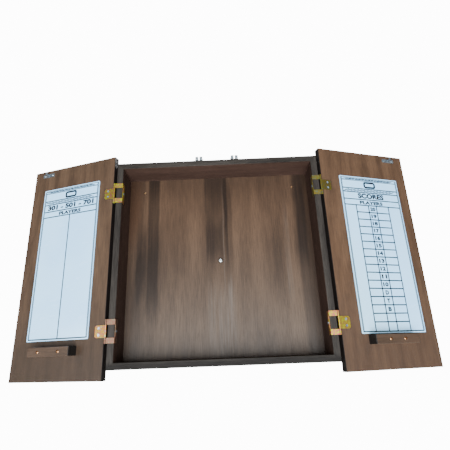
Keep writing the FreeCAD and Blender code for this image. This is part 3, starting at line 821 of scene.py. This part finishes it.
# %% Lay out both sheets, in mm from a sheet's top left
WIDTH, HEIGHT = 170.0, 384.0
FOOT = HEIGHT - 4.0
FINE = 2.7
BORDER_LEFT, BORDER_RIGHT, BORDER_TOP = 3.4, WIDTH - 2.9, 3.2
BORDER_FINE, BORDER_FOOT, BORDER_GAP = 1.6, 2.6, 2.2
ROPE_RULE, ROPE_RULE_WEIGHT = 10.2, 2.0
HEADING_RULES = (32.6, 42.8, 62.2, 77.6)


def level_rule(height, left, right, weight=FINE):
    return (left, height - weight / 2, right, height + weight / 2)


def upright_rule(across, top, bottom, weight=FINE):
    return (across - weight / 2, top, across + weight / 2, bottom)


def border_and_heading():
    """Rules that both sheets share: a double border at the sides, and the heading's rows."""
    left, right = BORDER_LEFT, BORDER_RIGHT
    inner_left, inner_right = left + BORDER_GAP, right - BORDER_GAP
    rules = [level_rule(BORDER_TOP, left, right, BORDER_FINE),
             level_rule(FOOT, left, right, BORDER_FOOT)]
    for across in (left, inner_left, inner_right, right):
        rules.append(upright_rule(across, BORDER_TOP, FOOT, BORDER_FINE))
    rules.append(level_rule(ROPE_RULE, inner_left, inner_right, ROPE_RULE_WEIGHT))
    rules += [level_rule(height, inner_left, inner_right) for height in HEADING_RULES]
    return rules


CENTRE_RULE = 86.6
left_rules = border_and_heading() + [upright_rule(CENTRE_RULE, HEADING_RULES[-1], FOOT)]
ROW, ROWS, FIRST = 18.82, 16, 77.2
COLUMNS = (36.6, 71.6, 94.6, 130.0)
right_rules = border_and_heading()
right_rules += [upright_rule(across, FIRST, FOOT) for across in COLUMNS]
right_rules += [level_rule(FIRST + ROW * row, COLUMNS[0], COLUMNS[3]) for row in range(1, ROWS)]
row_labels = [str(number) for number in range(20, 9, -1)] + ["D", "T", "B"]
print("rules", len(left_rules), len(right_rules), "rows", len(row_labels))


# %% Print a sheet and fix it to its door
def print_sheet(side, rules, words):
    """Joins rules, ropes, plaque and words into one printing, and lays it on the scoreboard."""
    door = doors[side]
    node = f"{side}_scoreboard"
    width, height, thick = door.sheet(node)
    parts = [printed_rules(f"{side}_score_printing", rules),
             roped_band("rope_upper", 7.0, WIDTH - 6.6, 4.2, 9.0, OUTWARD[side]),
             roped_band("rope_lower", 7.0, WIDTH - 6.6, 33.9, 41.6, OUTWARD[side]),
             plaque("plaque", 67.2, 12.4, 101.8, 30.2, 4.9)]
    parts += [lettering(*word) for word in words]
    bpy.ops.object.select_all(action="DESELECT")
    for part in parts:
        part.select_set(True)
    bpy.context.view_layer.objects.active = parts[0]
    bpy.ops.object.join()
    printing = bpy.context.object
    body = printing.modifiers.new("ink", "SOLIDIFY")
    body.thickness = INK
    body.offset = 1.0
    bpy.ops.object.modifier_apply(modifier=body.name)
    top_left = (middle(node) - door.reading * width / 2 + UP * height / 2
                + door.facing * (thick / 2 + 0.01 * MM))
    columns = (door.reading, UP, door.facing)
    printing.matrix_world = Matrix.Translation(top_left) @ Matrix(columns).transposed().to_4x4()
    bpy.ops.object.transform_apply(location=True, rotation=True, scale=True)
    printing.data.materials.clear()
    printing.data.materials.append(printing_ink)
    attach(printing, f"{side}_door")
    print(printing.name, "faces", len(printing.data.polygons))


left_words = [("301 - 501 - 701", 15.5, 45.4, 156.0, 59.0),
              ("PLAYERS", 52.5, 65.6, 119.0, 75.0)]
right_words = [("SCORES", 45.8, 45.2, 121.4, 59.2), ("PLAYERS", 48.4, 65.6, 115.2, 75.0)]
LABEL_DROP, LABEL_HEIGHT = 4.4, 10.0
LABEL_HALF = {1: 4.5, 2: 7.4}
centre = (COLUMNS[1] + COLUMNS[2]) / 2
for row, label in enumerate(row_labels):
    top = FIRST + ROW * row + LABEL_DROP
    half = LABEL_HALF[len(label)]
    right_words.append((label, centre - half, top, centre + half, top + LABEL_HEIGHT))
print_sheet("left", left_rules, left_words)
print_sheet("right", right_rules, right_words)

# %% [markdown]
# ## Catch springs
# A small coil spring on the guide rod presses each roller arm back after the spear has passed.
# A coil is a circle carried round and along a line, which is what the Screw modifier does. The
# springs lie between the cabinet and a sliding arm. Each one is fixed to the cabinet, and it
# stands for the stiff spring of the solid model, which is hidden.

# %% Wind the springs
WIRE = 0.22 * MM
WIRE_CORNERS = 10
TURNS = 3
STEPS_PER_TURN = 24


def coil_spring(side, place):
    """The spring of one roller arm, wound in the space that its solid holds."""
    node = f"catch_spring_{side}_{place}"
    low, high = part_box(node)
    length = high.x - low.x
    across, up = (low.y + high.y) / 2, (low.z + high.z) / 2
    bpy.ops.object.select_all(action="DESELECT")
    bpy.ops.mesh.primitive_circle_add(vertices=WIRE_CORNERS, radius=WIRE, location=(0.0, 0.0, 0.0))
    spring = active(f"coil_spring_{side}_{place}")
    bpy.ops.object.mode_set(mode="EDIT")
    bpy.ops.mesh.select_all(action="SELECT")
    bpy.ops.transform.translate(value=(0.0, (high.z - low.z) / 2 - WIRE, 0.0))
    bpy.ops.object.mode_set(mode="OBJECT")
    sweep = spring.modifiers.new("sweep", "SCREW")
    sweep.axis = "X"
    sweep.angle = 2 * math.pi * TURNS
    sweep.screw_offset = length - 2 * WIRE
    sweep.steps = sweep.render_steps = STEPS_PER_TURN * TURNS
    bpy.ops.object.modifier_apply(modifier=sweep.name)
    bpy.ops.object.mode_set(mode="EDIT")
    bpy.ops.mesh.select_all(action="SELECT")
    bpy.ops.mesh.fill_holes(sides=WIRE_CORNERS)
    bpy.ops.mesh.select_all(action="SELECT")
    bpy.ops.mesh.normals_make_consistent(inside=False)
    bpy.ops.transform.translate(value=(low.x + WIRE, across, up))
    bpy.ops.object.mode_set(mode="OBJECT")
    bpy.ops.object.shade_smooth()
    spring.data.materials.append(spring_wire)
    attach(spring, "cabinet")
    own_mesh(spring)
    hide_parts(node)
    print(spring.name, "length mm", round(length / MM, 2), "faces", len(spring.data.polygons))


for side in SIDES:
    for place in ("outer", "inner"):
        coil_spring(side, place)
